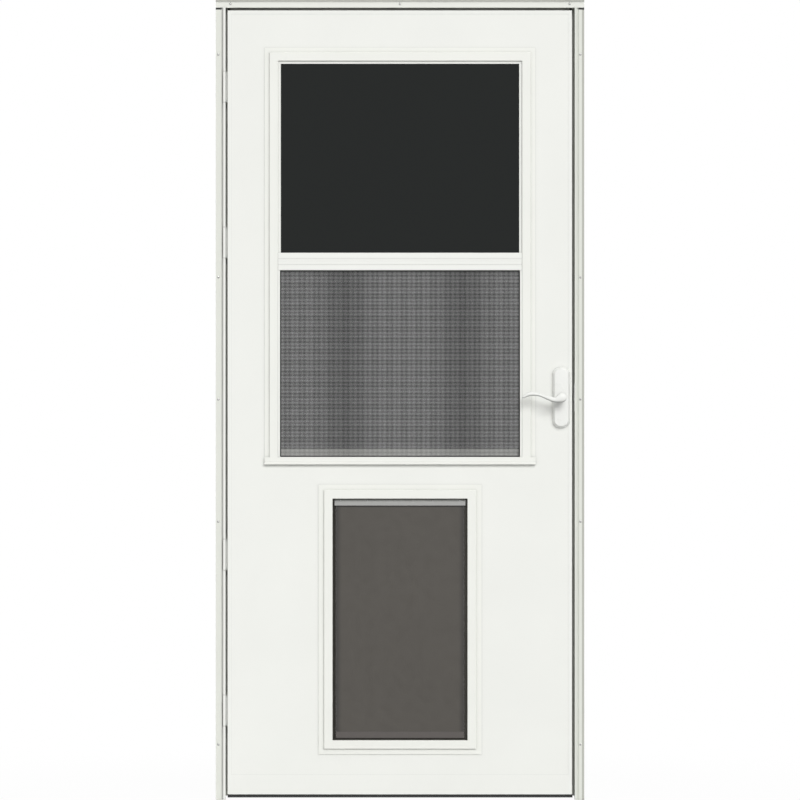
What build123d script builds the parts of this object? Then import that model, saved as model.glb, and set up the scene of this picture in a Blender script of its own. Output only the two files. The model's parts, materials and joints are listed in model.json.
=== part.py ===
from build123d import *
import math
import os

# An aluminium-framed storm door with a self-storing window and a pet door.
# Millimetres. X runs to the right seen from outdoors, Y into the wall, Z up from the sill.
# Everything is drawn about the doorway's middle and moved at the end, so that the origin
# lies on the back face of the hinge-side flange, on its screw line, at sill level.

# Doorway and outer frame
opening_width = 914.0
opening_height = 2025.0
casing_lap = 13.0
bar_wall = 1.6
screw_hole_radius = 2.2
screw_foot_inset = 144.2
screw_head_inset = 119.2
screw_inner_pitch = 623.0
head_screw_inset = 24.5
head_screw_rise = 8.0
head_flange_thickness = 3.2
head_flange_rise = 12.5
drip_lip_height = 7.5
drip_lip_reach = 9.0
drip_lip_edge = 1.5
bar_foot_slope = 12.0
latch_nose_width = 5.2
latch_nose_inset = 11.6
latch_nose_proud = 7.0
latch_nose_rounding = 1.2
latch_gap = 7.0
latch_screw_inset = 9.5
latch_groove_depth = 1.0
latch_tape_width = 5.9
latch_tape_thickness = 1.0
corner_pad_height = 5.1
head_gap = 7.4

# Long hinge
barrel_radius = 3.7
pin_radius = 1.6
pin_clearance = 0.05
pin_bite = 20.0
barrel_from_jamb = 8.7
barrel_depth = 5.0
hinge_plate = 1.6
hinge_plate_depth = 20.0
hinge_plate_back = 17.0
hinge_web = 2.0
hinge_web_set_back = 1.0
knuckle_length = 78.0
knuckle_gap = 1.2
knuckle_foot_insets = (213.8, 611.3)
knuckle_head_insets = (591.7, 194.4)
barrel_foot = 3.0

# Door leaf
leaf_thickness = 32.0
leaf_front = -6.0
leaf_lift = 17.0
leaf_edge_gap = 5.0
skin = 0.7
channel_wall = 1.0
channel_lip = 9.0
lip_thickness = 0.6
expander_height = 50.0
sweep_height = 8.4
sweep_base = 1.5
sweep_base_width = 8.0
sweep_thickness = 2.2
sweep_overhang = 1.6
sweep_depths = (0.0, 20.0)

# Stops and weatherstrips
stop_lap = 6.0
seal_gap = 0.3
seal_thickness = 6.3
seal_width = 6.0

# Window
stile_width = 128.0
top_rail_height = 129.0
lock_rail_height = 106.0
sill_height = 18.5
sill_nose = 4.0
sill_overhang = 0.5
trim_wall = 2.0
trim_face = 22.0
window_flange = 12.0
trim_proud = 7.0
back_trim_proud = 5.0
trim_rounding = 1.6
liner_offset = 15.0
core_clearance = 0.5
front_track_depth = 14.0
sash_thickness = 13.5
upper_sash_sight = 7.0
sash_hidden = 11.0
meeting_below_middle = 5.0
upper_meeting_rail = 21.0
screen_meeting_rail = 23.5
rail_groove = 1.0
meeting_proud = 4.7
meeting_end_gap = 0.3
screen_sight = 5.0
screen_thickness = 6.0
screen_flush = 0.5
screen_cloth_thickness = 0.5
screen_cloth_recess = 7.0
screen_seat_gap = 0.2
glass_thickness = 3.0
glass_bite = 5.0
glass_gap = 0.3
rear_track = 9.5
inner_sash_thickness = 8.0
inner_sash_set_back = 0.5
inner_sash_overlap = 15.0
inner_sash_top_rail = 20.0
inner_sash_bottom_rail = 30.0
inner_sash_drop = 9.0
finger_latch_width = 34.0
finger_latch_height = 9.0
finger_latch_proud = 7.0
finger_latch_inset = 96.0
finger_latch_drop = 4.0
lift_lip_proud = 8.0
lift_lip_thickness = 2.5
lift_lip_inset = 60.0
track_fin = 2.0
track_play = 0.3

# Pet door
pet_width = 344.0
pet_sill = 155.0
pet_height = 616.0
pet_flange = 14.0
pet_sleeve_joint = 10.0
flap_side_gap = 8.8
flap_foot_gap = 5.6
flap_thickness = 3.0
flap_depth = 2.0
flap_play = 0.3
magnet_height = 16.0
magnet_thickness = 1.4
clamp_height = 17.5
clamp_end_gap = 5.2
clamp_thickness = 6.0
clamp_bevel = 4.5
band_below_clamp = 1.5
backing_thickness = 3.0

# Handle and latch
handle_height = 1029.0
handle_from_edge = 27.4
plate_width = 47.0
plate_height = 156.0
plate_thickness = 15.0
plate_bevel = 6.5
plate_base = 1.5
plate_end_slope = 30.0
plate_end_rounding = 0.62
inside_plate_width = 28.0
inside_plate_height = 130.0
inside_plate_thickness = 8.0
inside_plate_bevel = 2.5
neck_radius = 8.0
neck_clearance = 0.08
hub_radius = 12.5
lever_thickness = 11.0
lever_bevel = 2.4
hub_crown = 0.6
hub_rounding = 3.0
# The grip's corners about the spindle, each with the radius that rounds it
grip_corners = [
    (-1.0, -12.4, 0.0),
    (-21.0, -12.4, 9.0),
    (-52.0, 0.9, 30.0),
    (-84.0, 8.6, 14.0),
    (-97.2, -2.2, 0.0),
    (-101.6, 3.0, 0.0),
    (-83.0, 17.8, 22.0),
    (-47.0, 7.6, 60.0),
    (-17.0, -2.2, 14.0),
    (-3.0, 9.5, 0.0),
]
outside_reach = 56.0
inside_reach = 50.0
spindle_side = 8.0
spindle_bite = 22.0
spindle_hole_clearance = 0.8
latch_case_length = 62.0
latch_case_height = 34.0
latch_case_thickness = 16.0
faceplate_width = 24.0
faceplate_height = 62.0
faceplate_gap = 0.2
latch_bolt_height = 14.0
latch_bolt_width = 11.0
latch_bolt_proud = 0.4
strike_thickness = 1.2
strike_height = 70.0
strike_width = 24.0
strike_hole_height = 24.0
strike_hole_width = 14.0

# Worked-out planes and edges
leaf_back = leaf_front + leaf_thickness
leaf_foot = leaf_lift
core_front = leaf_front + skin
core_back = leaf_back - skin
stop_front = leaf_back + lip_thickness + seal_gap + seal_thickness
bar_depth = stop_front + bar_wall
jamb = opening_width / 2
flange_edge = jamb + casing_lap
screw_line = jamb + casing_lap / 2
latch_screw_line = flange_edge - latch_screw_inset
latch_metal_edge = flange_edge - latch_tape_width
barrel_x = -jamb + barrel_from_jamb
leaf_left = barrel_x + barrel_radius + leaf_edge_gap
leaf_right = jamb - latch_nose_inset - latch_gap
leaf_width = leaf_right - leaf_left
leg_top = opening_height - bar_wall
side_flange_top = leg_top - corner_pad_height
leaf_top = leg_top - head_gap
head_screw_pitch = jamb - head_screw_inset
head_screw_height = opening_height + head_screw_rise
head_flange_top = opening_height + head_flange_rise
screw_outer_pitch = leg_top - screw_head_inset - screw_foot_inset
screw_middle_height = screw_foot_inset + screw_outer_pitch / 2
knuckle_heights = [leaf_foot + inset for inset in knuckle_foot_insets]
knuckle_heights += [leaf_top - inset for inset in knuckle_head_insets]
core_left = leaf_left + channel_wall
core_right = leaf_right - channel_wall
core_foot = leaf_foot + channel_wall
core_top = leaf_top - channel_wall
pet_half = pet_width / 2
pet_top = pet_sill + pet_height
window_sill_top = pet_top + lock_rail_height
window_half = leaf_width / 2 - stile_width
window_top = leaf_top - top_rail_height
meeting_height = (window_sill_top + window_top) / 2 - meeting_below_middle
inner_sash_foot = window_sill_top - inner_sash_drop
trim_front = leaf_front - trim_proud
back_trim_face = leaf_back + back_trim_proud
window_cut_half = window_half + liner_offset + trim_wall + core_clearance
window_cut_top = window_top + liner_offset + trim_wall + core_clearance
sill_foot = window_sill_top - sill_height
window_cut_foot = window_sill_top - liner_offset - trim_wall - core_clearance
pet_cut_half = pet_half + trim_wall + core_clearance
pet_cut_foot = pet_sill - trim_wall - core_clearance
pet_cut_top = pet_top + trim_wall + core_clearance
handle_x = leaf_right - handle_from_edge
joint_depth = leaf_front + front_track_depth
origin_shift = screw_line


def save(name, shape):
    """Write one sub-part, moved from the doorway's middle to the part's own origin."""
    export_step(Pos(origin_shift, 0, 0) * shape, f"parts/{name}.step")


def block(x0, x1, y0, y1, z0, z1):
    """A straight block between two corners."""
    return Pos((x0 + x1) / 2, (y0 + y1) / 2, (z0 + z1) / 2) * Box(x1 - x0, y1 - y0, z1 - z0)


def patch(a0, a1, b0, b1):
    """A flat rectangle between two corners."""
    return Pos((a0 + a1) / 2, (b0 + b1) / 2) * Rectangle(a1 - a0, b1 - b0)


def outline(points):
    """A flat face with straight sides."""
    return make_face(Polyline(*points, close=True))


def along_x(profile, x0, x1):
    """A profile drawn as (Y, Z), run along X."""
    return Pos(x0, 0, 0) * extrude(Plane.YZ * profile, amount=x1 - x0)


def along_y(profile, y0, y1):
    """A profile drawn as (X, Z), run along Y."""
    return Pos(0, y1, 0) * extrude(Plane.XZ * profile, amount=y1 - y0)


def along_z(profile, z0, z1):
    """A profile drawn as (X, Y), run along Z."""
    return Pos(0, 0, z0) * extrude(profile, amount=z1 - z0)


def member(profile, side, edge, low, high):
    """One side of a rectangular surround: the profile is (distance out from the opening's edge, Y)."""
    planes = {
        "right": Plane(origin=(edge, 0, low), x_dir=(1, 0, 0), z_dir=(0, 0, 1)),
        "left": Plane(origin=(edge, 0, high), x_dir=(-1, 0, 0), z_dir=(0, 0, -1)),
        "top": Plane(origin=(high, 0, edge), x_dir=(0, 0, 1), z_dir=(-1, 0, 0)),
        "bottom": Plane(origin=(low, 0, edge), x_dir=(0, 0, -1), z_dir=(1, 0, 0)),
    }
    return extrude(planes[side] * profile, amount=high - low)


def mitred(profile, side, x0, x1, z0, z1, square_foot=False):
    """A member between 45-degree mitres, or with a square lower end."""
    reach = profile.bounding_box().max.X
    y0 = profile.bounding_box().min.Y
    y1 = profile.bounding_box().max.Y
    foot = 0.0 if square_foot else reach
    corners = {
        "right": [(x1, z0), (x1, z1), (x1 + reach, z1 + reach), (x1 + reach, z0 - foot)],
        "left": [(x0, z0), (x0, z1), (x0 - reach, z1 + reach), (x0 - reach, z0 - foot)],
        "top": [(x0, z1), (x1, z1), (x1 + reach, z1 + reach), (x0 - reach, z1 + reach)],
        "bottom": [(x0, z0), (x1, z0), (x1 + reach, z0 - reach), (x0 - reach, z0 - reach)],
    }
    edges = {"right": x1, "left": x0, "top": z1, "bottom": z0}
    ranges = {
        "right": (z0 - reach, z1 + reach),
        "left": (z0 - reach, z1 + reach),
        "top": (x0 - reach, x1 + reach),
        "bottom": (x0 - reach, x1 + reach),
    }
    bar = member(profile, side, edges[side], *ranges[side])
    return bar & along_y(outline(corners[side]), y0, y1)


def drill_y(x, z, radius, y0, y1):
    """A round hole's cutter along Y."""
    return along_y(Pos(x, z) * Circle(radius), y0, y1)


# Outer frame bars

def screw_heights():
    """Heights of the five screws in each side flange."""
    outer = screw_outer_pitch / 2
    inner = screw_inner_pitch / 2
    return [screw_middle_height + step for step in (-outer, -inner, 0.0, inner, outer)]


def flange_holes(x):
    """Cutters for one side flange."""
    return [drill_y(x, z, screw_hole_radius, -bar_wall, 0.0) for z in screw_heights()]


def foot_cutter(x0, x1):
    """The slope cut in a bar's legs so that they stand on a falling sill."""
    slope = [(0.0, 0.0), (bar_depth, 0.0), (bar_depth, bar_foot_slope)]
    return along_x(outline(slope), x0, x1)


def make_hinge_bar():
    stop_edge = leaf_left + stop_lap
    profile = patch(-flange_edge, -jamb + bar_wall, -bar_wall, 0.0)
    profile += patch(-jamb, -jamb + bar_wall, 0.0, bar_depth)
    profile += patch(-jamb, stop_edge, stop_front, bar_depth)
    bar = along_z(profile, 0.0, leg_top)
    bar -= block(-flange_edge, -jamb + bar_wall, -bar_wall, 0.0, side_flange_top, leg_top)
    for hole in flange_holes(-screw_line):
        bar -= hole
    return bar - foot_cutter(-jamb, stop_edge)


def make_latch_bar():
    stop_edge = leaf_right - stop_lap
    nose_in = jamb - latch_nose_inset
    nose_out = nose_in + latch_nose_width
    groove_back = latch_groove_depth + bar_wall
    nose = patch(nose_in, nose_out, -latch_nose_proud, groove_back)
    nose = fillet(nose.vertices().group_by(Axis.Y)[0], latch_nose_rounding)
    profile = patch(jamb - bar_wall, latch_metal_edge, -bar_wall, 0.0) + nose
    profile += patch(nose_out, jamb, latch_groove_depth, groove_back)
    profile += patch(nose_in, nose_in + bar_wall, 0.0, stop_front)
    profile += patch(jamb - bar_wall, jamb, -bar_wall, stop_front)
    profile += patch(stop_edge, jamb, stop_front, bar_depth)
    bar = along_z(profile, 0.0, leg_top)
    bar -= block(jamb - bar_wall, latch_metal_edge, -bar_wall, 0.0, side_flange_top, leg_top)
    for hole in flange_holes(latch_screw_line):
        bar -= hole
    half_height = strike_hole_height / 2
    middle = (leaf_front + leaf_back) / 2
    slot = block(
        nose_in, nose_in + bar_wall,
        middle - strike_hole_width / 2, middle + strike_hole_width / 2,
        handle_height - half_height, handle_height + half_height,
    )
    return bar - slot - foot_cutter(stop_edge, jamb)


def make_head_bar():
    stop_foot = leaf_top - stop_lap
    lip_top = head_flange_top + drip_lip_height
    lip_front = -head_flange_thickness - drip_lip_reach
    face = [
        (0.0, leg_top),
        (0.0, lip_top),
        (lip_front, lip_top),
        (lip_front, lip_top - drip_lip_edge),
        (-head_flange_thickness, head_flange_top),
        (-head_flange_thickness, leg_top),
    ]
    bar = along_x(outline(face), -flange_edge, flange_edge)
    bar += block(-jamb, jamb, 0.0, bar_depth, leg_top, opening_height)
    bar += block(leaf_left + stop_lap, leaf_right - stop_lap, stop_front, bar_depth, stop_foot, leg_top)
    for x in (-head_screw_pitch, 0.0, head_screw_pitch):
        bar -= drill_y(x, head_screw_height, screw_hole_radius, -head_flange_thickness, 0.0)
    return bar


def make_latch_tape():
    """The strip of sealing tape that shows past the latch-side flange."""
    return block(latch_metal_edge, flange_edge, -latch_tape_thickness, 0.0, 0.0, side_flange_top)


def make_corner_pads():
    """Foam pads that fill the corners between the side flanges and the head flange."""
    return Compound([
        block(-flange_edge, -jamb + bar_wall, -bar_wall, 0.0, side_flange_top, leg_top),
        block(jamb - bar_wall, flange_edge, -bar_wall, 0.0, side_flange_top, leg_top),
    ])


def make_weatherstrips():
    """Bulb seals whose flat backs lie on the stops."""
    bulb = patch(0.0, seal_width, stop_front - seal_thickness, stop_front)
    bulb = fillet(bulb.vertices().group_by(Axis.Y)[0], seal_width * 0.49)
    left = along_z(Pos(leaf_left + stop_lap - seal_width, 0) * bulb, bar_foot_slope, leg_top)
    right = along_z(Pos(leaf_right - stop_lap, 0) * bulb, bar_foot_slope, leg_top)
    corner = (leaf_right - stop_lap, 0, leaf_top - stop_lap)
    across = Plane(origin=corner, x_dir=(0, 0, 1), z_dir=(-1, 0, 0))
    head = extrude(across * bulb, amount=leaf_width - 2 * stop_lap)
    return Compound([left, right, head])


# Long hinge

def knuckle_ranges():
    """Lower and upper ends of the leaf's four knuckles."""
    return [(z - knuckle_length / 2, z + knuckle_length / 2) for z in knuckle_heights]


def barrel_ranges():
    """Stretches of barrel that belong to the frame, between the leaf's knuckles."""
    ends = [barrel_foot]
    for low, high in knuckle_ranges():
        ends += [low - knuckle_gap, high + knuckle_gap]
    ends.append(leg_top)
    return list(zip(ends[0::2], ends[1::2]))


def barrel_section(edge):
    """The barrel, the web at its back and the arm that runs from there to an edge."""
    half = hinge_web / 2
    arm_back = hinge_web_set_back + hinge_web
    ends = sorted((edge, barrel_x - half if edge > barrel_x else barrel_x + half))
    barrel = Pos(barrel_x, -barrel_depth) * Circle(barrel_radius)
    web = patch(barrel_x - half, barrel_x + half, -barrel_depth + pin_radius + half, arm_back)
    return barrel + web + patch(*ends, hinge_web_set_back, arm_back)


def make_frame_hinge_strip():
    bore = Pos(barrel_x, -barrel_depth) * Circle(pin_radius)
    plate_left = -jamb + bar_wall
    plate = patch(plate_left, plate_left + hinge_plate, hinge_web_set_back, hinge_plate_depth)
    strip = along_z(plate, bar_foot_slope, leg_top)
    profile = plate + barrel_section(plate_left) - bore
    for low, high in barrel_ranges():
        strip += along_z(profile, low, high)
    return strip


def make_hinge_leaves():
    """Four knuckles, each with the web and plate that fix it to the leaf's edge."""
    bore = Pos(barrel_x, -barrel_depth) * Circle(pin_radius + pin_clearance)
    plate = patch(leaf_left - hinge_plate, leaf_left, hinge_web_set_back, hinge_plate_back)
    profile = plate + barrel_section(leaf_left) - bore
    return Compound([along_z(profile, low, high) for low, high in knuckle_ranges()])


def make_hinge_pins():
    pin = Pos(barrel_x, -barrel_depth) * Circle(pin_radius)
    return Compound([along_z(pin, low - pin_bite, high + pin_bite) for low, high in knuckle_ranges()])


# Door leaf

def make_cores():
    """The leaf's solid core in the pieces between the window, the pet door and the edges."""
    bore = drill_y(handle_x, handle_height, spindle_side * 0.75, core_front, core_back)
    middle = (leaf_front + leaf_back) / 2
    case_half = latch_case_height / 2 + core_clearance
    depth_half = latch_case_thickness / 2 + core_clearance
    pocket = block(
        core_right - latch_case_length - core_clearance, core_right,
        middle - depth_half, middle + depth_half,
        handle_height - case_half, handle_height + case_half,
    )
    hinge_stile = block(core_left, -window_cut_half, core_front, core_back, core_foot, core_top)
    latch_stile = block(window_cut_half, core_right, core_front, core_back, core_foot, core_top)
    inner = (-window_cut_half, window_cut_half, core_front, core_back)
    sides = [
        block(-window_cut_half, -pet_cut_half, core_front, core_back, pet_cut_foot, pet_cut_top),
        block(pet_cut_half, window_cut_half, core_front, core_back, pet_cut_foot, pet_cut_top),
    ]
    return {
        "hinge_stile_core": hinge_stile,
        "latch_stile_core": latch_stile - bore - pocket,
        "top_rail_core": block(*inner, window_cut_top, core_top),
        "lock_rail_core": block(*inner, pet_cut_top, window_cut_foot),
        "bottom_rail_core": block(*inner, core_foot, pet_cut_foot),
        "pet_side_cores": Compound(sides),
    }


def make_skin(y0, y1):
    sheet = patch(core_left, core_right, core_foot, core_top)
    sheet -= patch(-window_cut_half, window_cut_half, window_cut_foot, window_cut_top)
    sheet -= patch(-pet_cut_half, pet_cut_half, pet_cut_foot, pet_cut_top)
    sheet -= Pos(handle_x, handle_height) * Circle(spindle_side * 0.75)
    return along_y(sheet, y0, y1)


def make_edge_channel(side):
    """A thin channel round the leaf's long edge, from the bottom expander up."""
    sign = 1 if side == "left" else -1
    edge = leaf_left if side == "left" else leaf_right
    spans = sorted((edge, edge + sign * channel_wall))
    lips = sorted((edge, edge + sign * channel_lip))
    profile = patch(*spans, leaf_front - lip_thickness, leaf_back + lip_thickness)
    profile += patch(*lips, leaf_front - lip_thickness, leaf_front)
    profile += patch(*lips, leaf_back, leaf_back + lip_thickness)
    channel = along_z(profile, leaf_foot + expander_height, leaf_top)
    if side == "left":
        return channel
    middle = (leaf_front + leaf_back) / 2
    half_width = faceplate_width / 2 + faceplate_gap
    half_height = faceplate_height / 2 + faceplate_gap
    window = block(
        leaf_right - channel_wall, leaf_right,
        middle - half_width, middle + half_width,
        handle_height - half_height, handle_height + half_height,
    )
    return channel - window


def make_top_channel():
    web = block(core_left, core_right, leaf_front, leaf_back, core_top, leaf_top)
    lip_left = leaf_left + channel_lip
    lip_right = leaf_right - channel_lip
    lip_foot = leaf_top - channel_lip
    front = block(lip_left, lip_right, leaf_front - lip_thickness, leaf_front, lip_foot, leaf_top)
    back = block(lip_left, lip_right, leaf_back, leaf_back + lip_thickness, lip_foot, leaf_top)
    return web + front + back


def make_expander():
    """The deep channel over the leaf's foot, with closed ends."""
    top = leaf_foot + expander_height
    front = leaf_front - lip_thickness
    back = leaf_back + lip_thickness
    outside = block(leaf_left, leaf_right, front, back, leaf_foot, top)
    return outside - block(core_left, core_right, leaf_front, leaf_back, core_foot, top)


def make_sweep():
    """Two soft fins on the expander's underside."""
    fins = []
    base = sweep_base_width / 2
    half = sweep_thickness / 2
    for depth in sweep_depths:
        profile = [
            (depth - base, leaf_foot),
            (depth + base, leaf_foot),
            (depth + base, leaf_foot - sweep_base),
            (depth + half, leaf_foot - sweep_base),
            (depth + half / 2, leaf_foot - sweep_height),
            (depth - half / 2, leaf_foot - sweep_height),
            (depth - half, leaf_foot - sweep_base),
            (depth - base, leaf_foot - sweep_base),
        ]
        fins.append(along_x(outline(profile), leaf_left, leaf_right + sweep_overhang))
    return Compound(fins)


# Window

def hat_profile(face_y, wall_y, flange, inward, liner_from, liner_to, inner_reach):
    """A surround's section: raised face, both walls, the flange on the skin and the liner through the leaf.

    face_y is the raised face, wall_y the skin, inward +1 where the leaf lies towards +Y from the face.
    """
    skin_side = sorted((wall_y, wall_y - inward * trim_wall))
    face = patch(0.0, trim_face, *sorted((face_y, face_y + inward * trim_wall)))
    group = 0 if inward > 0 else -1
    face = fillet(face.vertices().group_by(Axis.Y)[group], trim_rounding)
    under = face_y + inward * trim_wall
    profile = face + patch(trim_face - trim_wall, trim_face, *sorted((under, wall_y)))
    profile += patch(trim_face - trim_wall, trim_face + flange, *skin_side)
    profile += patch(0.0, trim_wall, *sorted((under, inner_reach)))
    return profile + patch(liner_from, liner_from + trim_wall, *sorted((under, liner_to)))


def front_trim_profile():
    sash_front = joint_depth - track_fin - track_play - sash_thickness
    hat = hat_profile(trim_front, leaf_front, window_flange, 1, liner_offset, joint_depth, sash_front)
    return hat + patch(trim_wall, liner_offset, joint_depth - track_fin, joint_depth)


def back_trim_profile():
    track_wall = joint_depth + rear_track + trim_wall
    hat = hat_profile(back_trim_face, leaf_back, window_flange, -1, liner_offset, joint_depth, track_wall)
    return hat + patch(0.0, liner_offset, track_wall - trim_wall, track_wall)


def make_window_trims():
    opening = (-window_half, window_half, window_sill_top, window_top)
    front = front_trim_profile()
    back = back_trim_profile()
    front_sides = [mitred(front, side, *opening, square_foot=True) for side in ("left", "right")]
    back_sides = [mitred(back, side, *opening) for side in ("left", "right")]
    back_rails = [mitred(back, side, *opening) for side in ("top", "bottom")]
    return {
        "window_trim_stiles": Compound(front_sides),
        "window_trim_head": mitred(front, "top", *opening),
        "back_trim_stiles": Compound(back_sides),
        "back_trim_rails": Compound(back_rails),
    }


def make_sill():
    """The outside sill: front wall, drip nose and the pan under the sashes."""
    nose = [
        (trim_front, window_sill_top),
        (trim_front + trim_wall, window_sill_top),
        (trim_front + trim_wall, sill_foot + trim_wall),
        (leaf_front, sill_foot + trim_wall),
        (leaf_front, sill_foot),
        (trim_front - sill_nose, sill_foot),
        (trim_front - sill_nose, sill_foot + trim_wall),
        (trim_front, sill_foot + trim_wall + sill_nose),
    ]
    outer = window_half + trim_face + window_flange + sill_overhang
    front = along_x(outline(nose), -outer, outer)
    pan = block(
        -window_cut_half, window_cut_half,
        leaf_front, joint_depth,
        window_cut_foot, window_cut_foot + trim_wall,
    )
    lip = block(
        -window_cut_half, window_cut_half,
        trim_front + trim_wall, leaf_front,
        sill_foot + trim_wall, window_cut_foot + trim_wall,
    )
    return front + pan + lip


def sash_profile(inner, outer, y0, y1, glass_y):
    """A sash rail's section with the groove that takes its glass."""
    groove = patch(0.0, glass_bite + glass_gap, glass_y - glass_gap, glass_y + glass_thickness + glass_gap)
    return patch(inner, outer, y0, y1) - groove


def make_upper_sash():
    """The fixed upper light: thin stiles and head, and a deep meeting rail flush with the surround."""
    y1 = joint_depth - track_fin - track_play
    y0 = y1 - sash_thickness
    glass_y = (y0 + y1 - glass_thickness) / 2
    sight = window_half - upper_sash_sight
    top = window_top - upper_sash_sight
    foot = meeting_height + upper_meeting_rail
    profile = sash_profile(0.0, upper_sash_sight + sash_hidden, y0, y1, glass_y)
    outer = window_half + sash_hidden
    light = (-sight, sight, foot, top)
    sides = [mitred(profile, side, *light, square_foot=True) for side in ("left", "right")]
    head = mitred(profile, "top", *light)
    rail = block(-outer, outer, y0, y1, meeting_height, foot)
    reach = window_half - meeting_end_gap
    proud = block(-reach, reach, y0 - meeting_proud, y0, meeting_height, foot)
    proud = fillet(proud.edges().filter_by(Axis.X).group_by(Axis.Y)[0].sort_by(Axis.Z)[-1], trim_rounding)
    groove_z = meeting_height + upper_meeting_rail / 4
    line = block(
        -reach, reach,
        y0 - meeting_proud, y0 - meeting_proud + rail_groove,
        groove_z, groove_z + rail_groove,
    )
    seat = block(
        -sight - glass_bite - glass_gap, sight + glass_bite + glass_gap,
        glass_y - glass_gap, glass_y + glass_thickness + glass_gap,
        foot - glass_bite - glass_gap, foot,
    )
    glass = block(
        -sight - glass_bite, sight + glass_bite,
        glass_y, glass_y + glass_thickness,
        foot - glass_bite, top + glass_bite,
    )
    return {
        "upper_sash_stiles": Compound(sides),
        "upper_sash_rails": Compound([head, rail + proud - line - seat]),
        "upper_glass": glass,
    }


def make_screen():
    """The insect screen in the front track, below the meeting rail."""
    sight = window_half - screen_sight
    outer = window_half + sash_hidden
    y0 = trim_front + screen_flush
    back = joint_depth - track_fin - track_play
    step = back - sash_thickness + screen_seat_gap
    top = meeting_height - screen_seat_gap
    low = window_cut_foot + trim_wall + screen_seat_gap
    sill_line = window_sill_top + screen_flush
    cloth_y = y0 + screen_cloth_recess
    tongue = patch(sight, window_half - screen_seat_gap, y0, step)
    body = patch(sight, outer, step, step + screen_thickness)
    rail_foot = top - screen_meeting_rail
    right = along_z(body, low, rail_foot) + along_z(tongue, sill_line, rail_foot)
    left = mirror(right, Plane.YZ)
    bottom = block(-sight, sight, step, step + screen_thickness, low, sill_line)
    head = block(-outer, outer, step, step + screen_thickness, rail_foot, top)
    reach = window_half - meeting_end_gap
    proud = block(-reach, reach, y0, step, rail_foot, top)
    proud = fillet(proud.edges().filter_by(Axis.X).group_by(Axis.Y)[0].sort_by(Axis.Z)[0], trim_rounding)
    groove_z = top - screen_meeting_rail * 0.4
    line = block(-reach, reach, y0, y0 + rail_groove, groove_z, groove_z + rail_groove)
    cloth = block(
        -sight, sight,
        cloth_y, cloth_y + screen_cloth_thickness,
        sill_line, rail_foot,
    )
    return {
        "screen_stiles": Compound([left, right]),
        "screen_rails": Compound([bottom, head + proud - line]),
        "screen_cloth": cloth,
    }


def make_inner_sash():
    """The lowered glass in the rear track, behind the screen."""
    y0 = joint_depth + (rear_track - inner_sash_thickness) / 2
    y1 = y0 + inner_sash_thickness
    glass_y = (y0 + y1 - glass_thickness) / 2
    sight = window_half - screen_sight + inner_sash_set_back
    outer = window_half + sash_hidden
    top = meeting_height + inner_sash_overlap
    rail_top = top - inner_sash_top_rail
    rail_foot = inner_sash_foot + inner_sash_bottom_rail
    profile = sash_profile(0.0, outer - sight, y0, y1, glass_y)
    sides = [
        member(profile, "right", sight, rail_foot, rail_top),
        member(profile, "left", -sight, rail_foot, rail_top),
    ]
    reach = sight + glass_bite + glass_gap
    seat = block(
        -reach, reach,
        glass_y - glass_gap, glass_y + glass_thickness + glass_gap,
        rail_foot - glass_bite - glass_gap, rail_top + glass_bite + glass_gap,
    )
    head = block(-outer, outer, y0, y1, rail_top, top) - seat
    rail = block(-outer, outer, y0, y1, inner_sash_foot, rail_foot) - seat
    glass = block(
        -sight - glass_bite, sight + glass_bite,
        glass_y, glass_y + glass_thickness,
        rail_foot - glass_bite, rail_top + glass_bite,
    )
    lip_top = rail_foot - lift_lip_thickness
    lip_half = sight - lift_lip_inset
    lip = block(-lip_half, lip_half, y1, y1 + lift_lip_proud, lip_top - lift_lip_thickness, lip_top)
    latch_top = top - finger_latch_drop
    latch_foot = latch_top - finger_latch_height
    tab = [
        (y1, latch_foot),
        (y1, latch_top),
        (y1 + finger_latch_proud, latch_top),
        (y1 + finger_latch_proud / 2, latch_foot),
    ]
    tab = along_x(outline(tab), -finger_latch_width / 2, finger_latch_width / 2)
    latch_x = sight - finger_latch_inset
    return {
        "inner_sash_stiles": Compound(sides),
        "inner_sash_rails": Compound([head, rail + lip]),
        "inner_sash_latches": Compound([Pos(-latch_x, 0, 0) * tab, Pos(latch_x, 0, 0) * tab]),
        "inner_glass": glass,
    }


# Pet door

def make_pet_frame(face_y, wall_y, inward):
    """A moulded surround with its half of the sleeve through the leaf."""
    profile = hat_profile(face_y, wall_y, pet_flange, inward, 0.0, pet_sleeve_joint, wall_y)
    sides = ("left", "right", "top", "bottom")
    opening = (-pet_half, pet_half, pet_sill, pet_top)
    frame = mitred(profile, sides[0], *opening)
    for side in sides[1:]:
        frame += mitred(profile, side, *opening)
    return frame


def make_flap():
    """The hanging flap, its clamped top band and the bars that hold it."""
    y0 = flap_depth - flap_thickness / 2
    y1 = flap_depth + flap_thickness / 2
    clamp_foot = pet_top - clamp_height
    band_foot = clamp_foot - band_below_clamp
    pivot = band_foot - flap_play - flap_thickness / 2
    foot = pet_sill + flap_foot_gap
    half = pet_half - flap_side_gap
    clamp_half = pet_half - clamp_end_gap
    panel = along_x(
        patch(y0, y1, foot, pivot) + Pos(flap_depth, pivot) * Circle(flap_thickness / 2), -half, half
    )
    clamp = [
        (y0, clamp_foot),
        (y0, pet_top),
        (y0 - clamp_thickness + clamp_bevel, pet_top),
        (y0 - clamp_thickness, clamp_foot + clamp_height / 2),
        (y0 - clamp_thickness, clamp_foot),
    ]
    return {
        "flap_panel": panel,
        "flap_magnet_strip": block(-half, half, y0 - magnet_thickness, y0, foot, foot + magnet_height),
        "flap_clamp_bar": along_x(outline(clamp), -clamp_half, clamp_half),
        "flap_top_band": block(-half, half, y0, y1, band_foot, pet_top),
        "flap_backing_bar": block(-pet_half, pet_half, y1, y1 + backing_thickness, clamp_foot, pet_top),
    }


# Handle and latch

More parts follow.
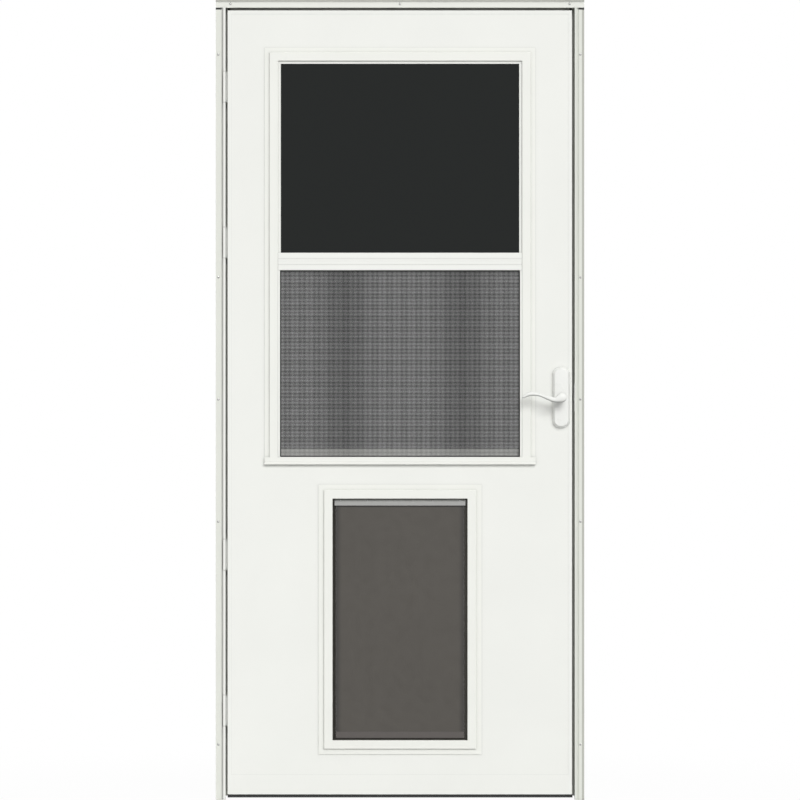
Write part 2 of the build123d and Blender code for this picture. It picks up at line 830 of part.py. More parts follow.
def plate_outline(width, height):
    """A plate's outline: straight sides, and ends rounded to a slight point."""
    half = width / 2
    rounding = plate_end_rounding * half
    slope = math.radians(plate_end_slope)
    tip = height / 2 + rounding * (1.0 / math.cos(slope) - 1.0)
    shoulder = tip - half * math.tan(slope)
    lower = [(-half, -shoulder), (0.0, -tip), (half, -shoulder)]
    upper = [(half, shoulder), (0.0, tip), (-half, shoulder)]
    face = outline(lower + upper)
    return Pos(handle_x, handle_height) * fillet(face.vertices(), rounding)


def make_plate(width, height, thickness, bevel, face_y, inward):
    """A handle plate with bevelled sides and the hole that the lever's neck turns in."""
    y0, y1 = sorted((face_y, face_y - inward * thickness))
    plate = along_y(plate_outline(width, height), y0, y1)
    front = plate.faces().sort_by(Axis.Y)[0 if inward > 0 else -1]
    plate = chamfer(front.edges(), bevel, thickness - plate_base, reference=front)
    return plate - drill_y(handle_x, handle_height, neck_radius + neck_clearance, y0, y1)


def make_outside_plate():
    """The outdoor plate, relieved at the back over the lip of the edge channel."""
    plate = make_plate(plate_width, plate_height, plate_thickness, plate_bevel, leaf_front, 1)
    return plate - block(
        leaf_right - channel_lip, leaf_right,
        leaf_front - lip_thickness, leaf_front,
        handle_height - plate_height / 2, handle_height + plate_height / 2,
    )


def lever_arm():
    """The S-shaped grip seen from the front, about the spindle."""
    face = outline([(x, z) for x, z, rounding in grip_corners])
    for x, z, rounding in grip_corners:
        if rounding:
            face = fillet(face.vertices().sort_by_distance((x, z))[0], rounding)
    return face


def make_lever(inward, face_y, reach):
    """A lever whose neck turns in its plate; inward is +1 for the outdoor side."""
    centre = Pos(handle_x, handle_height)
    front = face_y - inward * reach
    outer = 0 if inward > 0 else -1
    back = front + inward * lever_thickness
    arm = along_y(centre * lever_arm(), *sorted((front + inward * hub_crown, back)))
    arm = chamfer(arm.edges().group_by(Axis.Y)[outer], lever_bevel)
    hub = along_y(centre * Circle(hub_radius), *sorted((front, back)))
    hub = fillet(hub.edges().group_by(Axis.Y)[outer], hub_rounding)
    neck = drill_y(handle_x, handle_height, neck_radius, *sorted((back, face_y)))
    half = spindle_side / 2
    socket = block(
        handle_x - half, handle_x + half,
        *sorted((face_y, face_y - inward * spindle_bite)),
        handle_height - half, handle_height + half,
    )
    return arm + hub + neck - socket


def make_spindle():
    half = spindle_side / 2
    return block(
        handle_x - half, handle_x + half,
        leaf_front - spindle_bite, leaf_back + spindle_bite,
        handle_height - half, handle_height + half,
    )


def make_latch_case():
    """The latch in its pocket, its faceplate in the edge channel and the bolt drawn back."""
    middle = (leaf_front + leaf_back) / 2
    half_height = latch_case_height / 2
    half_depth = latch_case_thickness / 2
    case = block(
        core_right - latch_case_length, core_right,
        middle - half_depth, middle + half_depth,
        handle_height - half_height, handle_height + half_height,
    )
    plate = block(
        core_right, leaf_right,
        middle - faceplate_width / 2, middle + faceplate_width / 2,
        handle_height - faceplate_height / 2, handle_height + faceplate_height / 2,
    )
    bolt = block(
        leaf_right, leaf_right + latch_bolt_proud,
        middle - latch_bolt_width / 2, middle + latch_bolt_width / 2,
        handle_height - latch_bolt_height / 2, handle_height + latch_bolt_height / 2,
    )
    hole = spindle_side / math.sqrt(2) + spindle_hole_clearance
    bore = drill_y(handle_x, handle_height, hole, middle - half_depth, middle + half_depth)
    return case + plate + bolt - bore


def make_strike():
    nose_in = jamb - latch_nose_inset
    middle = (leaf_front + leaf_back) / 2
    plate = block(
        nose_in - strike_thickness, nose_in,
        middle - strike_width / 2, middle + strike_width / 2,
        handle_height - strike_height / 2, handle_height + strike_height / 2,
    )
    return plate - block(
        nose_in - strike_thickness, nose_in,
        middle - strike_hole_width / 2, middle + strike_hole_width / 2,
        handle_height - strike_hole_height / 2, handle_height + strike_hole_height / 2,
    )


os.makedirs("parts", exist_ok=True)
parts = {
    "hinge_z_bar": make_hinge_bar(),
    "latch_z_bar": make_latch_bar(),
    "head_z_bar": make_head_bar(),
    "latch_flange_tape": make_latch_tape(),
    "corner_pads": make_corner_pads(),
    "weatherstrips": make_weatherstrips(),
    "frame_hinge_strip": make_frame_hinge_strip(),
    "hinge_pins": make_hinge_pins(),
    "hinge_leaves": make_hinge_leaves(),
    "strike_plate": make_strike(),
    "front_skin": make_skin(leaf_front, core_front),
    "back_skin": make_skin(core_back, leaf_back),
    "hinge_edge_channel": make_edge_channel("left"),
    "latch_edge_channel": make_edge_channel("right"),
    "top_edge_channel": make_top_channel(),
    "bottom_expander": make_expander(),
    "sweep_fins": make_sweep(),
    "window_sill": make_sill(),
    "pet_frame_front": make_pet_frame(trim_front, leaf_front, 1),
    "pet_frame_back": make_pet_frame(back_trim_face, leaf_back, -1),
    "outside_plate": make_outside_plate(),
    "inside_plate": make_plate(
        inside_plate_width, inside_plate_height, inside_plate_thickness, inside_plate_bevel, leaf_back, -1
    ),
    "outside_lever": make_lever(1, leaf_front, outside_reach),
    "inside_lever": make_lever(-1, leaf_back, inside_reach),
    "spindle": make_spindle(),
    "latch_case": make_latch_case(),
    **make_cores(),
    **make_window_trims(),
    **make_upper_sash(),
    **make_screen(),
    **make_inner_sash(),
    **make_flap(),
}
for name, shape in parts.items():
    save(name, shape)
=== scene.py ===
import json
import math
import random
import bmesh
import bpy
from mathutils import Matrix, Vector


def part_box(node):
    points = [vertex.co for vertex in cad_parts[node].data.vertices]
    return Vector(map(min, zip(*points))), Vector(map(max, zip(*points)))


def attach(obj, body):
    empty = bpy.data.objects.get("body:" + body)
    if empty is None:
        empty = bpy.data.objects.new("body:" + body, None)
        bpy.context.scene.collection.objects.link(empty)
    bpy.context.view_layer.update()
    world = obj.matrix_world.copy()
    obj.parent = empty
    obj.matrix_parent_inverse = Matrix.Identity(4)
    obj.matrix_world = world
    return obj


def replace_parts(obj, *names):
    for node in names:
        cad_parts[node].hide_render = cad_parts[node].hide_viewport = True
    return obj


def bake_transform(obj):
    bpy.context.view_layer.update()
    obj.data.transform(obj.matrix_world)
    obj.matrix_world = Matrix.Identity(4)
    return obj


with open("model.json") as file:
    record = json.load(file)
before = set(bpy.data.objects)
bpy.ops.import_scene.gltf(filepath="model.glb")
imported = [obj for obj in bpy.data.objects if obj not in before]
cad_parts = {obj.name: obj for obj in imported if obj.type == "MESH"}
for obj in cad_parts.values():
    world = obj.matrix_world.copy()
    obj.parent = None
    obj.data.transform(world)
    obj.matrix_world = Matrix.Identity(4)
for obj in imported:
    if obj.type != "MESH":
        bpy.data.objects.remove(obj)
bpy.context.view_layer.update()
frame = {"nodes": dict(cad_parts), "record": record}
nodes = frame["nodes"]
record = frame["record"]

MM = 0.001
RIGHT = Vector((1.0, 0.0, 0.0))
INDOORS = Vector((0.0, 1.0, 0.0))
UP = Vector((0.0, 0.0, 1.0))

# An edge that bends more than this, in degrees, stays sharp
NODE_CREASE = 35.0
PIECE_CREASE = 40.0

# Insect screen: its wires, the bands and groups of bands of painted shade on them, its two broad zones
# of painted shade, and the vinyl cord that holds it. Sizes are in metres where no comment says otherwise
UPRIGHT_PITCH = 1.421 * MM
LEVEL_PITCH = 1.476 * MM
WIRE_RADIUS = 0.24 * MM
WIRE_SIDES = 4
UPRIGHT_BAND = 12.4 * MM
LEVEL_BAND = 9.38 * MM
UPRIGHT_CONTRAST = 0.30
LEVEL_CONTRAST = 0.70
GROUP_BANDS = 3.0
GROUP_CONTRAST = 0.38
SHADE_ZONE_PERIOD = 0.300
SHADE_ZONE_PLACE = 0.3225
SHADE_ZONE_NARROWING = 3.0
SHADE_ZONE_DEPTH = 0.34
PAINTED_LIGHT_OUTSIDE_ZONES = 1.08
SPLINE_RADIUS = 1.5 * MM
SPLINE_SIDES = 12
SPLINE_FORWARD = 0.3 * MM

# Pan head screws: the profile is in shares of the head's radius and height, from its crown outwards
PAN_PROFILE = ((0.0, 1.0), (0.42, 0.96), (0.78, 0.72), (0.97, 0.32), (1.0, 0.0))
PAN_SIDES = 28
CASING_HEAD_RADIUS = 3.4 * MM
CASING_HEAD_HEIGHT = 1.8 * MM
SIDE_FLANGE_FACE = -1.6 * MM
HEAD_FLANGE_SETBACK = 9.0 * MM
INSIDE_HEAD_RADIUS = 3.6 * MM
INSIDE_HEAD_HEIGHT = 1.6 * MM
INSIDE_SCREW_INSET = 14.0 * MM
RECESS_ARM = 0.55
RECESS_HALF = 0.11
RECESS_PROUD = 0.02 * MM

# Countersunk screws in the latch's faceplate and in the strike
EDGE_CROWN = ((0.0, 0.35 * MM), (1.5 * MM, 0.32 * MM), (2.7 * MM, 0.15 * MM), (3.0 * MM, 0.0))
EDGE_SIDES = 24
EDGE_RECESS_ARM = 1.6 * MM
EDGE_RECESS_HALF = 0.35 * MM
EDGE_RECESS_PLACE = 0.37 * MM
FACEPLATE_SCREW_INSET = 7.0 * MM
STRIKE_SCREW_INSET = 9.0 * MM

# Rivets through the flap's clamp bar, placed from its middle
RIVET_PROFILE = ((0.0, 1.0), (0.5, 0.85), (0.85, 0.5), (1.0, 0.0))
RIVET_SIDES = 20
RIVET_RADIUS = 2.6 * MM
RIVET_HEIGHT = 1.1 * MM
RIVET_ROOT = 1.0 * MM
RIVET_SETBACK = 1.8 * MM
RIVET_DROP = 4.0 * MM
RIVET_AXIS = Vector((0.0, -0.9, 0.45))
RIVET_PLACES = (-0.1522, -0.0831, -0.0301, 0.0303, 0.0826, 0.1512)

# Levers, in millimetres from the hub's middle. The flare's second value is its distance behind the
# hub's crown, in half depths of the hub
HUB_RADIUS = 12.5
HUB_DEPTH = 5.4
HUB_FULLNESS = 0.55
HUB_ANGLES = (3, 10, 20, 32, 45, 60, 75, 90)
NECK_FLARE = ((10.8, 1.2), (9.6, 1.9), (8.7, 2.6), (8.1, 3.4), (7.9, 4.4))
NECK_RADIUS = 7.9
NECK_SIDES = 40
LEVER_SIDES = 28
STATION_STEPS = 4
# Stations along the grip: an upper and a lower outline point, each as x and z, and the half depth
GRIP_STATIONS = [
    (-3.8, 11.6, -1.6, -12.5, 5.4),
    (-8.2, 8.2, -7.4, -12.9, 5.3),
    (-12.2, 4.7, -13.2, -12.9, 5.2),
    (-17.0, 1.0, -20.0, -12.0, 5.0),
    (-22.8, 1.4, -27.0, -9.9, 4.8),
    (-30.0, 3.7, -33.6, -7.2, 4.6),
    (-38.0, 5.7, -40.5, -4.2, 4.5),
    (-46.0, 7.5, -47.5, -0.9, 4.4),
    (-55.5, 10.2, -56.0, 2.6, 4.3),
    (-65.0, 12.9, -65.0, 4.0, 4.3),
    (-73.5, 14.7, -75.0, 4.2, 4.2),
    (-81.0, 14.7, -84.0, 2.8, 4.0),
    (-87.8, 12.0, -90.6, 0.5, 3.6),
    (-93.8, 8.6, -95.4, -1.7, 3.1),
    (-98.4, 5.8, -98.8, -1.2, 2.2),
    (-100.9, 3.4, -101.0, 1.0, 0.9),
]

# Outside plate: outlines from its back to its front, each with its step inwards at the sides and at
# the ends and its depth behind the front, in millimetres
PLATE_LEVELS = (
    (0.0, 0.0, 15.0),
    (0.0, 0.0, 13.6),
    (0.25, 0.2, 13.2),
    (6.1, 4.6, 0.9),
    (6.5, 5.0, 0.35),
    (7.1, 5.6, 0.05),
    (7.7, 6.2, 0.0),
)
PLATE_SIDES = 96
PLATE_END_HEIGHT = 19.5 * MM
PLATE_END_POWER = 1.85
PLATE_HOLE_RADIUS = 8.1 * MM

# Flap sheet: the stretch below the bar where its rows lie close, its rows and columns, and faint waves
BEND_LENGTH = 45.0 * MM
SHEET_COLUMNS = 32
HANGING_ROWS = 24
BEND_ROWS = 28
SHEET_WAVE = 0.25 * MM
WAVES_UPRIGHT = 9.0
WAVES_ACROSS = 14.0
# How far and how much the sheet darkens towards its sides, and the painted shadow just below the bar
SIDE_SHADE_REACH = 16.0 * MM
SIDE_SHADE = 0.35
TOP_SHADE_REACH = 6.0 * MM
TOP_SHADE = 0.15

# Pile seals: fibres, the strips that they stand in, and the fins that stop light beside the flap
PILE_SEED = 7
PILE_PITCH = 0.42 * MM
PILE_RADIUS = 0.34 * MM
PILE_LEAN = 0.42 * MM
PILE_SHORTEST = 0.86
PILE_ROWS = 7
PILE_WIDTH = 6.0 * MM
PILE_END_GAP = 0.5 * MM
SIDE_PILE_LENGTH = 8.7 * MM
FOOT_PILE_LENGTH = 5.2 * MM
FOOT_PILE_DROP = 5.6 * MM
BAR_PILE_ROWS = 9
BAR_PILE_WIDTH = 7.0 * MM
BAR_CLEARANCE = 0.1 * MM
STRIP_WIDTH = 7.0 * MM
STRIP_THICKNESS = 1.0 * MM
FIN_WIDTH = 0.5 * MM
FIN_CLEARANCE = 0.06 * MM

# Camera, lamps and floor. Angles are in degrees, and an azimuth is counted from straight in front
LENS = 280.0
SENSOR = 36.0
PICTURE_SPAN = 2.040
PICTURE_MIDDLE = 1.0226
DOOR_MIDDLE = 0.4635
DOOR_FACE = -0.0066
LAMP_DISTANCE = 6.0
LAMP_AIM = 1.0
LAMP_SPREAD = 30.0
KEY_AZIMUTH = 16.0
KEY_HEIGHT = 27.0
KEY_STRENGTH = 2.0
BACK_AZIMUTH = 205.0
BACK_HEIGHT = 30.0
BACK_STRENGTH = 1.5
FILL_STRENGTH = 0.425
FLOOR_RADIUS = 4.0
FLOOR_SIDES = 96
FLOOR_GREY = 0.55
FADE_START = 0.6
FADE_END = 2.6
FADE_FROM = 0.97


def srgb(r, g, b):
    """A colour written in screen values from 0 to 255, as linear RGBA."""
    linear = []
    for value in (r, g, b):
        v = value / 255.0
        linear.append(v / 12.92 if v <= 0.04045 else ((v + 0.055) / 1.055) ** 2.4)
    return (*linear, 1.0)


# Node building

class Shader:
    """A material with a Principled shader and short calls for the nodes round it."""

    def __init__(self, name, colour, roughness, **sockets):
        self.material = bpy.data.materials.new(name)
        self.material.use_nodes = True
        self.tree = self.material.node_tree
        self.main = self.tree.nodes["Principled BSDF"]
        self.main.inputs["Base Color"].default_value = colour
        self.main.inputs["Roughness"].default_value = roughness
        for socket, value in sockets.items():
            self.main.inputs[socket.replace("_", " ")].default_value = value

    def node(self, kind, **values):
        """A new node. A value whose name starts with in_ goes to that input."""
        made = self.tree.nodes.new(kind)
        for key, value in values.items():
            if key.startswith("in_"):
                made.inputs[key[3:].replace("_", " ")].default_value = value
            else:
                setattr(made, key, value)
        return made

    def link(self, source, target):
        self.tree.links.new(source, target)

    def place(self):
        """Object coordinates, in metres."""
        return self.node("ShaderNodeTexCoord").outputs["Object"]

    def split(self, vector):
        """The X, Y and Z of a vector."""
        made = self.node("ShaderNodeSeparateXYZ")
        self.link(vector, made.inputs["Vector"])
        return made.outputs

    def noise(self, scale, detail=3.0, stretch=(1.0, 1.0, 1.0)):
        """Noise that is drawn out along an axis whose stretch is under 1."""
        mapping = self.node("ShaderNodeMapping")
        mapping.inputs["Scale"].default_value = stretch
        self.link(self.place(), mapping.inputs["Vector"])
        made = self.node("ShaderNodeTexNoise", in_Scale=scale, in_Detail=detail)
        self.link(mapping.outputs["Vector"], made.inputs["Vector"])
        return made.outputs["Fac"]

    def ramp(self, source, start, end, low, high, kind="SMOOTHSTEP"):
        """Maps start to end onto low to high, and stays level beyond them."""
        made = self.node("ShaderNodeMapRange", interpolation_type=kind)
        made.inputs["From Min"].default_value = start
        made.inputs["From Max"].default_value = end
        made.inputs["To Min"].default_value = low
        made.inputs["To Max"].default_value = high
        self.link(source, made.inputs["Value"])
        return made.outputs["Result"]

    def spread(self, source, low, high):
        """Maps a noise's 0.3 to 0.7 onto low to high."""
        return self.ramp(source, 0.3, 0.7, low, high, "LINEAR")

    def maths(self, operation, first, second=0.0):
        made = self.node("ShaderNodeMath", operation=operation)
        for socket, value in zip(made.inputs, (first, second)):
            if isinstance(value, (int, float)):
                socket.default_value = value
            else:
                self.link(value, socket)
        return made.outputs["Value"]

    def wave(self, operation, distance, period):
        """A sine or cosine that repeats over each period."""
        return self.maths(operation, self.maths("MULTIPLY", distance, 2 * math.pi / period))

    def painted_corner_shade(self, distance, strength):
        """Painted shade: a factor that falls in narrow corners, where little light comes."""
        made = self.node("ShaderNodeAmbientOcclusion", samples=8)
        made.inputs["Distance"].default_value = distance
        return self.maths("ADD", 1.0 - strength, self.maths("MULTIPLY", made.outputs["AO"], strength))

    def tint(self, colour, *factors):
        """The base colour times factors that vary over the surface."""
        factor = factors[0]
        for other in factors[1:]:
            factor = self.maths("MULTIPLY", factor, other)
        made = self.node("ShaderNodeVectorMath", operation="SCALE")
        made.inputs[0].default_value = colour[:3]
        self.link(factor, made.inputs["Scale"])
        self.link(made.outputs["Vector"], self.main.inputs["Base Color"])

    def rough(self, source, low, high):
        """Roughness that follows a noise."""
        self.link(self.spread(source, low, high), self.main.inputs["Roughness"])

    def bump(self, height, distance, strength=1.0):
        made = self.node("ShaderNodeBump", in_Strength=strength, in_Distance=distance)
        self.link(height, made.inputs["Height"])
        self.link(made.outputs["Normal"], self.main.inputs["Normal"])


# Kinds of material. A grain or noise scale is in waves a metre, and a depth in metres

def paint(name, colour, roughness, grain=900.0, depth=0.02 * MM, shade=(0.010, 0.38), **sockets):
    """Baked paint: a fine orange peel, faint changes of tone and of gloss, and painted shade in narrow
    corners.
    """
    shader = Shader(name, colour, roughness, **sockets)
    shader.tint(colour, shader.spread(shader.noise(4.0), 0.988, 1.012), shader.painted_corner_shade(*shade))
    shader.rough(shader.noise(30.0), roughness - 0.05, roughness + 0.05)
    shader.bump(shader.noise(grain, 2.0), depth)
    return shader.material


def cast_paint(name, colour, roughness):
    """Smooth paint on a casting, with painted shade that darkens its undersides and the faces close to the
    leaf.
    """
    shader = Shader(name, colour, roughness, Specular_IOR_Level=0.35)
    facing = shader.split(shader.node("ShaderNodeNewGeometry").outputs["Normal"])["Z"]
    # Painted shade on faces that look down, darker the more they face the floor
    under = shader.ramp(facing, -0.90, -0.10, 0.42, 1.0)
    shader.tint(colour, shader.spread(shader.noise(4.0), 0.99, 1.01), shader.painted_corner_shade(0.120, 0.9), under)
    shader.rough(shader.noise(30.0), roughness - 0.05, roughness + 0.05)
    shader.bump(shader.noise(900.0, 2.0), 0.01 * MM)
    return shader.material


def moulded(name, colour, roughness, **sockets):
    """Moulded plastic: a soft spark-eroded texture, and painted shade in narrow corners."""
    shader = Shader(name, colour, roughness, **sockets)
    shader.tint(colour, shader.spread(shader.noise(7.0), 0.988, 1.012), shader.painted_corner_shade(0.008, 0.42))
    shader.rough(shader.noise(60.0), roughness - 0.04, roughness + 0.04)
    shader.bump(shader.noise(1400.0, 2.0), 0.015 * MM)
    return shader.material


def metal(name, colour, roughness, lines, stretch):
    """Rolled or plated metal: fine lines along one direction."""
    shader = Shader(name, colour, roughness, Metallic=1.0)
    grain = shader.noise(lines, 4.0, stretch)
    shader.tint(colour, shader.spread(grain, 0.90, 1.08))
    shader.rough(grain, roughness - 0.08, roughness + 0.08)
    shader.bump(grain, 0.01 * MM)
    return shader.material


def vinyl(name, colour, roughness, mottle, shade=None):
    """Flexible vinyl: slow waves, a faint cloudiness and a fine skin. shade makes more factors."""
    shader = Shader(name, colour, roughness)
    factors = shade(shader) if shade else []
    shader.tint(colour, shader.spread(shader.noise(5.0), 1.0 - mottle, 1.0 + mottle), *factors)
    wave = shader.noise(9.0, 2.0, (1.0, 1.0, 0.4))
    skin = shader.maths("MULTIPLY", shader.noise(700.0, 2.0), 0.02)
    shader.bump(shader.maths("ADD", wave, skin), 0.6 * MM, 0.5)
    shader.rough(shader.noise(40.0), roughness - 0.05, roughness + 0.07)
    return shader.material


def glass(name, colour):
    """Float glass painted dark and opaque: painted shade in place of the dim room seen through clear glass.
    Its slight roll wave bends the reflections.
    """
    shader = Shader(name, colour, 0.04, IOR=1.28)
    shader.tint(colour, shader.spread(shader.noise(2.0), 0.97, 1.03))
    shader.bump(shader.noise(3.0, 1.0, (1.0, 1.0, 0.3)), 0.4 * MM, 0.3)
    shader.rough(shader.noise(12.0), 0.03, 0.06)
    return shader.material


def board(name, colour):
    """Wood-fibre core, seen only at cut edges."""
    shader = Shader(name, colour, 0.8)
    shader.tint(colour, shader.spread(shader.noise(60.0, 6.0, (1.0, 1.0, 0.1)), 0.75, 1.2))
    shader.bump(shader.noise(500.0), 0.2 * MM)
    return shader.material


def wire(name, axis, period, contrast):
    """Drawn wire with painted shade: its rows are painted lighter and darker in bands and groups of bands,
    and two broad zones darker still.
    """
    colour = srgb(158, 158, 158)
    shader = Shader(name, colour, 0.6)
    place = shader.split(shader.place())
    bands = shader.wave("SINE", place[axis], period)
    groups = shader.wave("SINE", place[axis], period * GROUP_BANDS)
    both = shader.maths("ADD", bands, shader.maths("MULTIPLY", groups, GROUP_CONTRAST))
    rows = shader.maths("ADD", 1.0, shader.maths("MULTIPLY", both, contrast))
    # Two broad zones of painted shade across the cloth, with a little painted light outside them
    zone = shader.wave("COSINE", shader.maths("SUBTRACT", place["X"], SHADE_ZONE_PLACE), SHADE_ZONE_PERIOD)
    zone = shader.maths("MULTIPLY", shader.maths("ADD", zone, 1.0), 0.5)
    zone = shader.maths("POWER", zone, SHADE_ZONE_NARROWING)
    zone_painted_shade = shader.maths("SUBTRACT", PAINTED_LIGHT_OUTSIDE_ZONES, shader.maths("MULTIPLY", zone, SHADE_ZONE_DEPTH))
    shader.tint(colour, rows, zone_painted_shade)
    shader.bump(shader.noise(3000.0), 0.01 * MM)
    return shader.material


# The materials themselves: one for each slot of the record, and some of single nodes and pieces

LEAF_WHITE = srgb(238, 239, 234)
CAST_WHITE = srgb(240, 241, 237)
materials = {
    "frame_paint": paint("frame paint", srgb(224, 226, 218), 0.42, shade=(0.010, 0.15)),
    "leaf_paint": paint("leaf paint", LEAF_WHITE, 0.45, grain=500.0, depth=0.03 * MM),
    "surround": moulded("surround plastic", srgb(238, 239, 233), 0.45),
    "sash_paint": paint("sash paint", srgb(240, 241, 236), 0.40),
    "core_wood": board("core board", srgb(205, 178, 140)),
    # The window glass's dark colour is painted shade, for the dim room behind clear glass
    "window_glass": glass("window glass", srgb(24, 27, 26)),
    "screen": moulded("screen cloth", srgb(120, 120, 118), 0.6),
    "flap_vinyl": vinyl("flap vinyl", srgb(67, 63, 58), 0.38, 0.04),
    "magnet": moulded("magnet strip", srgb(78, 73, 70), 0.55),
    "clamp_metal": metal("clamp metal", srgb(145, 145, 143), 0.55, 400.0, (0.02, 1.0, 1.0)),
    "seal": moulded("black vinyl", srgb(34, 34, 34), 0.6),
    "sealing_tape": moulded("sealing tape", srgb(188, 189, 181), 0.75),
    "bulb_seal": moulded("bulb vinyl", srgb(66, 66, 64), 0.6),
    "handle_paint": paint("handle paint", CAST_WHITE, 0.30, depth=0.01 * MM, Coat_Weight=0.2),
    "steel": metal("zinc plate", srgb(196, 196, 194), 0.35, 900.0, (1.0, 1.0, 0.1)),
}
lever_paint = cast_paint("lever paint", CAST_WHITE, 0.45)
# Flat dark crosses on the screw heads: painted shade of their recesses
recess_painted_shade = moulded("recess shade", srgb(96, 96, 94), 0.7)
pile_fibre = moulded("pile fibre", srgb(94, 92, 87), 0.9, Specular_IOR_Level=0.05)
edge_paint = paint("edge paint", LEAF_WHITE, 0.45, grain=500.0, depth=0.03 * MM, shade=(0.010, 0.05))
# The inner sash takes a darker copy of the sash paint: painted shade, for rails that lie in shade behind the
# insect screen
inner_sash_painted_shade = paint("inner sash painted shade", srgb(216, 217, 210), 0.40)
node_materials = {
    "hinge_edge_channel": edge_paint,
    "latch_edge_channel": edge_paint,
    "inner_sash_rails": inner_sash_painted_shade,
    "inner_sash_stiles": inner_sash_painted_shade,
    # A lighter copy of the frame's paint on the head bar: painted light
    "head_z_bar": paint("head painted light", srgb(231, 232, 225), 0.42),
}

slots = {part["node"]: part["material_slot"] for part in record["subparts"]}
for name, node in nodes.items():
    node.data.materials.clear()
    node.data.materials.append(node_materials.get(name, materials[slots[name]]))
    node.data.shade_smooth()
    node.data.set_sharp_from_angle(angle=math.radians(NODE_CREASE))


# Mesh building

def finish_mesh(name, builder, body, material, smooth=True):
    """Turns a bmesh into a named piece, which rides on a body unless that is None."""
    data = bpy.data.meshes.new(name)
    builder.to_mesh(data)
    builder.free()
    piece = bpy.data.objects.new(name, data)
    bpy.context.scene.collection.objects.link(piece)
    data.materials.append(material)
    if smooth:
        data.shade_smooth()
        data.set_sharp_from_angle(angle=math.radians(PIECE_CREASE))
    if body:
        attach(piece, body)
    return piece


def add_ring(builder, centre, across, up, sides, turn=0.0):
    """Vertices round an ellipse whose half axes are the vectors across and up."""
    ring = []
    for i in range(sides):
        angle = 2 * math.pi * (i + turn) / sides
        ring.append(builder.verts.new(centre + across * math.cos(angle) + up * math.sin(angle)))
    return ring


def join_rings(builder, rings):
    """Faces between each ring and the next. The first may be a single vertex, the crown."""
    for first, second in zip(rings, rings[1:]):
        for i in range(len(second)):
            j = (i + 1) % len(second)
            if len(first) == 1:
                builder.faces.new((first[0], second[i], second[j]))
            else:
                builder.faces.new((first[i], second[i], second[j], first[j]))


def square_vectors(axis):
    """Two unit vectors square to a unit axis and to each other."""
    across = axis.orthogonal().normalized()
    return across, axis.cross(across)


def add_bar(builder, start, end, radius, sides):
    """A straight round bar between two points, without end caps."""
    across, up = square_vectors((end - start).normalized())
    rings = [add_ring(builder, point, across * radius, up * radius, sides, 0.5) for point in (end, start)]
    join_rings(builder, rings)


def add_lathe(builder, profile, centre, axis, sides):
    """A turned form: profile is (radius, height along axis) from the middle outwards."""
    axis = axis.normalized()
    across, up = square_vectors(axis)
    rings = []
    for radius, height in profile:
        base = centre + axis * height
        if radius == 0.0:
            rings.append([builder.verts.new(base)])
        else:
            rings.append(add_ring(builder, base, across * radius, up * radius, sides))
    join_rings(builder, rings)


def add_cross(builder, centre, across, arm, half):
    """Painted shade of a screw's recess: a flat dark cross, upright, in the plane of across."""
    for width, height in ((arm, half), (half, arm)):
        corners = ((-width, -height), (width, -height), (width, height), (-width, height))
        builder.faces.new([builder.verts.new(centre + across * x + UP * z) for x, z in corners])


# Insect screen: real wires in two crossing layers, pressed into the frame by a cord of vinyl

def build_screen():
    low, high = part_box("screen_cloth")
    middle_y = (low.y + high.y) / 2
    layers = (
        ("screen_wires_upright", 0, -WIRE_RADIUS, UPRIGHT_PITCH, UPRIGHT_BAND, UPRIGHT_CONTRAST),
        ("screen_wires_level", 2, WIRE_RADIUS, LEVEL_PITCH, LEVEL_BAND, LEVEL_CONTRAST),
    )
    for name, axis, offset, pitch, period, contrast in layers:
        wires = bmesh.new()
        other = 2 - axis
        span = high[axis] - low[axis]
        count = int(span / pitch)
        margin = (span - (count - 1) * pitch) / 2
        for i in range(count):
            start = Vector((0.0, middle_y + offset, 0.0))
            start[axis] = low[axis] + margin + i * pitch
            end = start.copy()
            start[other] = low[other]
            end[other] = high[other]
            add_bar(wires, start, end, WIRE_RADIUS, WIRE_SIDES)
        material = wire(name, axis, period, contrast)
        piece = finish_mesh(name, wires, "door_leaf", material, smooth=False)
        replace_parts(piece, "screen_cloth")

    left, right = low.x + SPLINE_RADIUS, high.x - SPLINE_RADIUS
    foot, top = low.z + SPLINE_RADIUS, high.z - SPLINE_RADIUS
    spline_y = middle_y - SPLINE_FORWARD
    outline = ((left, foot), (right, foot), (right, top), (left, top))
    corners = [Vector((x, spline_y, z)) for x, z in outline]
    spline = bmesh.new()
    for start, end in zip(corners, corners[1:] + corners[:1]):
        add_bar(spline, start, end, SPLINE_RADIUS, SPLINE_SIDES)
    finish_mesh("screen_spline", spline, "door_leaf", materials["seal"])


# Fasteners

def add_pan_head(heads, recesses, place, facing, radius, height):
    """A domed head on a face at place, with the painted shade of its recess laid on the crown as a flat dark
    cross.
    """
    profile = [(radius * across, height * up) for across, up in PAN_PROFILE]
    add_lathe(heads, profile, place, facing, PAN_SIDES)
    crown = place + facing * (height + RECESS_PROUD)
    add_cross(recesses, crown, RIGHT, radius * RECESS_ARM, radius * RECESS_HALF)


